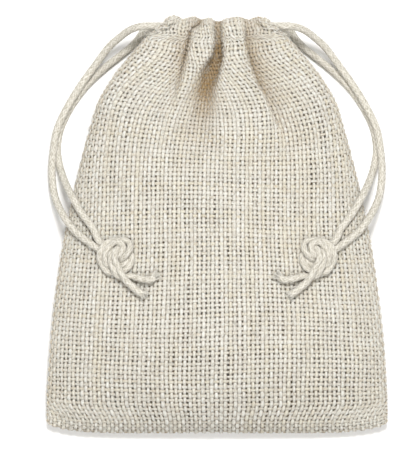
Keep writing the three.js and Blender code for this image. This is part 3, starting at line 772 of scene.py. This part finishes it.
def backRow(h):
    # one row of the back cloth, which lies on the table and turns up at its sides
    out = min(h, backTurn["top"])
    drawn = blendTo(1.0, 0.95, smoothStep(casingBase, casingBase + 3.4, out))
    drawn *= blendTo(1.0, 0.88, smoothStep(casingBase + 3.4, backTurn["top"], out))
    a = np.sin(np.linspace(-1, 1, rowPoints["back"]) * math.pi / 2)
    hs, x, y = placeRow(a, out, drawn)
    half = halfWidth(hs)
    side = np.clip((np.abs(a) * half - (half - pouch["sideRoll"])) / pouch["sideRoll"], 0, 1)
    fold = np.clip(1 - hs / pouch["backFold"], 0, 1)
    lift = pouch["neckLift"] * smoothStep(pouch["shoulderHeight"], casingBase, hs)
    curl = 1 - np.sqrt(np.clip((1 - side ** 2) * (1 - fold ** 2), 0, 1))
    wave = 0.5 - 0.5 * np.cos(a * 6 * math.pi + 0.7)
    gathers = 0.9 * wave * smoothStep(casingBase - 22, casingBase, hs)
    z = blendTo(lift + gathers + 0.68, edgeRise(hs) - 0.3 * np.abs(a) ** 30, curl)
    line = withFlap(stacked(x, y, z), out)
    flap = line[len(a):]
    line = np.vstack([flap[::-1] * [-1, 1, 1], line])
    still = np.ones(len(flap))
    turnOver(line, h, backTurn)
    return line, np.concatenate([still, 0.6 * wave ** 2, still]), np.zeros(len(line)), np.zeros(len(line))


fineGrid = {"rows": 440, "columns": 640, "drift": 5.0, "driftRows": 48, "gathered": 12.0}


def clothGrid(rowOf, topH):
    # a fine grid whose columns are lines of the cloth; where a row is short, more of them go into the folds
    rows, columns = fineGrid["rows"], fineGrid["columns"]
    lines, places, held = [], [], np.zeros((rows, columns))
    for k, h in enumerate(np.linspace(0, topH, rows)):
        line, hidden, tucked, shelter = rowOf(h)
        place = distanceAlong(line)
        share = (hidden[1:] + hidden[:-1]) / 2 * np.diff(place)
        spare = weave["warps"] * weave["pitch"] * (1 + 0.1 * smoothStep(88, 104, h)) - place[-1] - tucked.sum()
        gathered = min(fineGrid["gathered"], max(0.0, spare / (share.sum() + 1e-6)))
        steps = np.diff(place) + share * gathered + tucked[1:]
        reached = runningSum(steps)
        held[k] = np.interp(np.linspace(0, reached[-1], columns), reached, place / place[-1])
        lines.append(np.column_stack([line, shelter]))
        places.append(place / place[-1])
    # the lines drift from row to row no faster than cloth does
    most = fineGrid["driftRows"]
    reach = np.arange(-most, most + 1)
    kernel = np.exp(-0.5 * (reach * topH / rows / fineGrid["drift"]) ** 2)
    padded = np.pad(held, ((most, most), (0, 0)), mode="edge")
    held = sum(share * padded[most + k:most + k + rows] for share, k in zip(kernel / kernel.sum(), reach))
    grid = np.array([[np.interp(held[k], places[k], lines[k][:, i]) for i in range(4)] for k in range(rows)])
    shade = grid[:, 3]
    grid = grid[:, :3].transpose(0, 2, 1)
    normals = unitOf(np.cross(np.gradient(grid, axis=1), np.gradient(grid, axis=0)))
    return grid, normals, shade


def sampleGrid(grid, row, column):
    # values between the grid's points
    rows, columns = grid.shape[:2]
    row = np.clip(row, 0, rows - 1.001)
    column = np.clip(column, 0, columns - 1.001)
    r, c = row.astype(int), column.astype(int)
    up, over = row - r, column - c
    if grid.ndim == 3:
        up, over = up[..., None], over[..., None]
    return blendTo(blendTo(grid[r, c], grid[r, c + 1], over), blendTo(grid[r + 1, c], grid[r + 1, c + 1], over), up)


def placeOn(cloth, row, column):
    # a place on a panel, and the way out of the pouch there
    grid, normals, outwards = cloth[0], cloth[1], cloth[3]
    return sampleGrid(grid, row, column), unitOf(sampleGrid(normals, row, column) * outwards)


def smoothNoise(count, points, step):
    # slow random wander along each yarn, about -1 to 1, with a turning point every `step` points
    turns = max(4, int(points / step) + 3)
    values = rng.uniform(-1, 1, (count, turns))
    at = np.linspace(0, turns - 1.001, points)
    index = at.astype(int)
    return blendTo(values[:, index], values[:, index + 1], smoothStep(0, 1, at - index))


def yarnSizes(count):
    sizes = np.exp(rng.normal(0, weave["sizes"], count))
    return sizes / sizes.mean()


def layYarns(name, cloth, row, column, wave, halfWide, high, tone, sides):
    # yarns along the grid lines, shared out in turn between two pieces that each stay light enough
    centre, normal = placeOn(cloth, row, column)
    centre = centre + normal * wave[..., None]
    shelter = sampleGrid(cloth[2], row, column)[..., None]
    around = np.sin(turnAngles(sides))
    made = []
    for i, part in enumerate(("odd", "even")):
        pick = slice(i, None, 2)
        # painted shade: brown on the folds and on each yarn's sides and underside
        paintedShadeBrown = np.clip(shelter[pick] + smoothStep(0.1, -0.8, around), 0, 1)
        made.append(makeTubes(f"{name}_{part}", centre[pick], normal[pick], halfWide[pick], high[pick], sides,
                              tone[pick], yarnFinish, shelter=paintedShadeBrown, underside=smoothStep(0.85, -0.45, around)))
    return made


def spanOf(grid, row, column, step):
    # from one side of each place to the other, by a half step in rows and columns
    return sampleGrid(grid, row + step[0], column + step[1]) - sampleGrid(grid, row - step[0], column - step[1])


def yarnSpacing(grid, row, column, apart, run):
    # how far apart neighbouring yarns lie, square to their run: less where the cloth is skewed
    across, along = spanOf(grid, row, column, apart), spanOf(grid, row, column, run)
    return np.linalg.norm(np.cross(across, along), axis=2) / (np.linalg.norm(along, axis=2) + 1e-9)


def swayAt(share, h):
    # the wefts don't lie quite straight
    return weave["sway"] * np.sin(share * 9.4 + h / 17) * smoothStep(0, 20, h)


def clothHeights(grid, topH):
    # heights up the pouch, and the length of cloth up to each: even up the pouch, denser at the bottom fold,
    # and true to the cloth at the sleeve, where it curves over
    rows, columns = grid.shape[:2]
    heights = np.linspace(0, topH, rows)
    steps = np.linalg.norm(np.diff(grid, axis=0), axis=2)[:, columns // 6:-columns // 6].mean(axis=1)
    even = topH / (rows - 1)
    steps = blendTo(even, steps, smoothStep(30, 80, heights[1:]))
    dense = even * (1 + weave["dense"] * smoothStep(weave["denseTo"], 0, heights[1:]))
    return heights, runningSum(np.maximum(steps, dense))


def overUnder(crossing, threads):
    # a thread's wave over and under the threads that it crosses, and its pinch at each of them
    wave = np.cos(math.pi * (crossing + np.arange(threads)[:, None]))
    return wave, 1 + weave["pinch"] * np.cos(2 * math.pi * crossing)


def layWarps(name, cloth, panel, heights, lengths, weftAt):
    grid = cloth[0]
    rows, columns = grid.shape[:2]
    warps, perCrossing = weave["warps"], panel["perCrossing"]
    count = int(len(weftAt) * perCrossing)
    h = np.interp(np.linspace(0, lengths[-1], count), lengths, heights)[None, :]
    place = lie["place"][:, None]
    column = (place + smoothNoise(warps, count, 9 * perCrossing) * weave["warpWander"]) * (columns - 1)
    column = np.clip(column, 0.5, columns - 1.5)
    row = np.broadcast_to(h / heights[-1] * (rows - 1), column.shape)
    wave, pinch = overUnder(np.interp(h - swayAt(place, h), weftAt, np.arange(len(weftAt))), warps)
    thick = lie["size"][:, None] * (1 + weave["slub"] * smoothNoise(warps, count, 5 * perCrossing))
    spacing = yarnSpacing(grid, row, column, (0, columns / warps / 2), (1.5, 0))
    halfWide = np.minimum(weave["warpWide"], weave["warpShare"] * spacing + 0.01) * thick * pinch
    return layYarns(f"{name}_warps", cloth, row, column, wave * weave["warpWave"], halfWide,
                    weave["warpHigh"] * np.sqrt(thick), rng.uniform(0.15, 1, warps), panel["sides"])


def layWefts(name, cloth, panel, weftAt):
    grid, normals, shade, outwards = cloth
    rows, columns = grid.shape[:2]
    topH, wefts, perCrossing = panel["top"], len(weftAt), panel["perCrossing"]
    count = int(weave["warps"] * perCrossing)
    fraction = np.linspace(0.001, 0.999, count)[None, :]
    column = np.broadcast_to(fraction * (columns - 1), (wefts, count))
    wander = smoothNoise(wefts, count, 11 * perCrossing) * weave["weftWander"]
    h = np.clip(weftAt[:, None] + swayAt(fraction, weftAt[:, None]) + wander, 0.05, topH - 0.05)
    row = h / topH * (rows - 1)
    wave, pinch = overUnder(np.interp(fraction, lie["place"], np.arange(weave["warps"])), wefts)
    thick = pinch * yarnSizes(wefts)[:, None]
    thick = thick * (1 + weave["slub"] * smoothNoise(wefts, count, 5 * perCrossing))
    halfStep = np.gradient(weftAt)[:, None] / topH * (rows - 1) / 2
    spacing = yarnSpacing(grid, row, column, (halfStep, 0), (0, 2))
    narrowed = np.minimum(1, weave["weftShare"] * spacing / weave["weftWide"] + 0.05)
    halfWide = weave["weftWide"] * panel["weftWider"] * narrowed * thick
    # painted shade: the wefts are painted a little browner than the warps
    shaded = (grid, normals, np.clip(shade + weave["weftPaintedShade"], 0, 1), outwards)
    return layYarns(f"{name}_wefts", shaded, row, column, -wave * weave["weftWave"], halfWide,
                    weave["weftHigh"] * np.sqrt(thick), rng.uniform(0.15, 0.85, wefts), panel["sides"])


def weavePanel(name, panel):
    cloth = (*clothGrid(panel["row"], panel["top"]), panel["outwards"])
    heights, lengths = clothHeights(cloth[0], panel["top"])
    wefts = int(round(lengths[-1] / weave["weftPitch"]))
    weftAt = (np.arange(wefts) + 0.2 + rng.normal(0, weave["places"], wefts)) * lengths[-1] / (wefts - 0.6)
    weftAt = np.interp(weftAt, lengths, heights)
    flatWidth, flatLength = weave["warps"] * weave["pitch"] * mm, lengths[-1] * mm
    # every other yarn of the panel: laid side by side they make half of its width or of its length
    warpPieces = layWarps(name, cloth, panel, heights, lengths, weftAt)
    weftPieces = layWefts(name, cloth, panel, weftAt)
    for pieces, flat in ((warpPieces, (flatWidth / 2, flatLength)), (weftPieces, (flatWidth, flatLength / 2))):
        for piece in pieces:
            dress(piece, "pouch", "burlap", *panel["nodes"])
    print(name, "woven:", weave["warps"], "warps and", wefts, "wefts, flat size",
          round(flatWidth / mm), "by", round(flatLength / mm), "mm")
    return cloth


# where the warps lie across both panels, and how thick each is
lie = {
    "place": (np.arange(weave["warps"]) + 0.5 + rng.normal(0, weave["places"], weave["warps"])) / weave["warps"],
    "size": yarnSizes(weave["warps"]),
}
clothTop = pouch["height"] + weave["hem"]
frontPanel = {
    "row": frontRow, "top": clothTop, "sides": 6, "perCrossing": 3.0, "weftWider": 1.0, "outwards": 1,
    "nodes": ["front_panel", "front_casing"], "rests": ["back_warps_odd"],
}
backPanel = {
    "row": backRow, "top": clothTop - 2, "sides": 5, "perCrossing": 2.2, "weftWider": 1.16, "outwards": -1,
    "nodes": ["back_panel", "back_casing"], "rests": ["paper_ground"],
}
front = weavePanel("front", frontPanel)
back = weavePanel("back", backPanel)

def addThreads(name, lines, ups, thin, sides, tone, *nodes):
    # threads of the cloth's own yarn, round and on top of it
    made = makeTubes(name, lines, ups, thin, thin, sides, tone, yarnFinish)
    dress(made, "pouch", "burlap", *nodes)


# Thread: a whipped seam down each side, and a few stitches that hold the ends of the sleeve
seam = {"pitch": 2.6, "reach": 0.75, "radius": 0.15, "bottom": 3.0, "top": casingBase - 5, "perTurn": 14, "sides": 6,
        "inset": 0.35, "raised": 0.55, "up": (0, 1, 0.05)}


def sewSide(name, side):
    length = seam["top"] - seam["bottom"]
    turns = length / seam["pitch"]
    t = np.linspace(0, 1, int(turns * seam["perTurn"]))
    h = bowed(1, seam["bottom"] + t * length)
    angle = 2 * math.pi * turns * t
    x = side * (halfWidth(h) - seam["inset"] + seam["reach"] * np.cos(angle))
    z = edgeRise(h) + (seam["raised"] + seam["reach"]) * np.sin(angle)
    line = stacked(x, foldY + h + cornerShift(1, h), z)[None]
    addThreads(f"{name}_seam_thread", line, seam["up"], seam["radius"], seam["sides"], 0.8, f"{name}_side_seam")


tacks = {"rows": [-0.9, -0.2, 0.5, 1.2, 1.9], "from": casingBase + 3.2, "raised": 0.72, "radius": 0.13, "slant": 5,
         "points": 9, "sides": 6}


def sewSleeveEnd(name, side):
    # a few tacking stitches over the rolled edge where the cord comes out, slanting to and fro
    grid, normals = front[:2]
    points = tacks["points"]
    lines, ups = [], []
    for i, at in enumerate(tacks["rows"]):
        row = (tacks["from"] + at) / clothTop * (grid.shape[0] - 1)
        outermost = int(np.argmax(side * grid[int(row), :, 0]))
        columns = outermost - side * np.linspace(-4, 30, points)
        slanted = row + tacks["slant"] * np.linspace(-0.5, 0.5, points) * (-1) ** i
        up = sampleGrid(normals, slanted, columns)
        lift = tacks["raised"] * np.sin(np.linspace(0.15, math.pi - 0.15, points)) ** 0.4
        lines.append(sampleGrid(grid, slanted, columns) + up * lift[:, None])
        ups.append(up)
    addThreads(f"{name}_sleeve_stitches", np.array(lines), np.array(ups), tacks["radius"], tacks["sides"], 1,
               "front_casing")


for sew in (sewSide, sewSleeveEnd):
    sew("left", -1)
    sew("right", 1)

loose = {"points": 5, "sides": 3, "long": (0.5, 2.2), "off": 0.35, "stand": (0.1, 0.7), "arch": (1.5, 3.1),
         "bend": 0.25, "thin": (0.022, 0.045)}


def strew(name, cloth, nodes, count, seed):
    # loose fibres that stand off the yarns
    lint = np.random.default_rng(seed)
    row = lint.uniform(2, fineGrid["rows"] * 0.9, (count, 1))
    column = lint.uniform(2, fineGrid["columns"] - 3, (count, 1))
    start, normal = placeOn(cloth, row, column)
    heading = lint.normal(0, 1, (count, 1, 3))
    heading = unitOf(heading - normal * (heading * normal).sum(axis=2, keepdims=True))
    t = np.linspace(0, 1, loose["points"])[None, :, None]
    long = lint.uniform(*loose["long"], (count, 1, 1))
    stand = lint.uniform(*loose["stand"], (count, 1, 1)) * np.sin(t * lint.uniform(*loose["arch"], (count, 1, 1)))
    lines = start + normal * (loose["off"] + stand)
    lines = lines + heading * long * t + lint.normal(0, loose["bend"], (count, 1, 3)) * t ** 2
    lines[..., 2] = np.maximum(lines[..., 2], 0.05)
    thin = lint.uniform(*loose["thin"], (count, 1))
    addThreads(name, lines, normal, thin, loose["sides"], lint.uniform(0.4, 1, count), *nodes)


strew("front_lint", front, frontPanel["nodes"], 3600, 31)
strew("back_lint", back, backPanel["nodes"], 1200, 32)
print("cloth is woven, sewn and fuzzy")
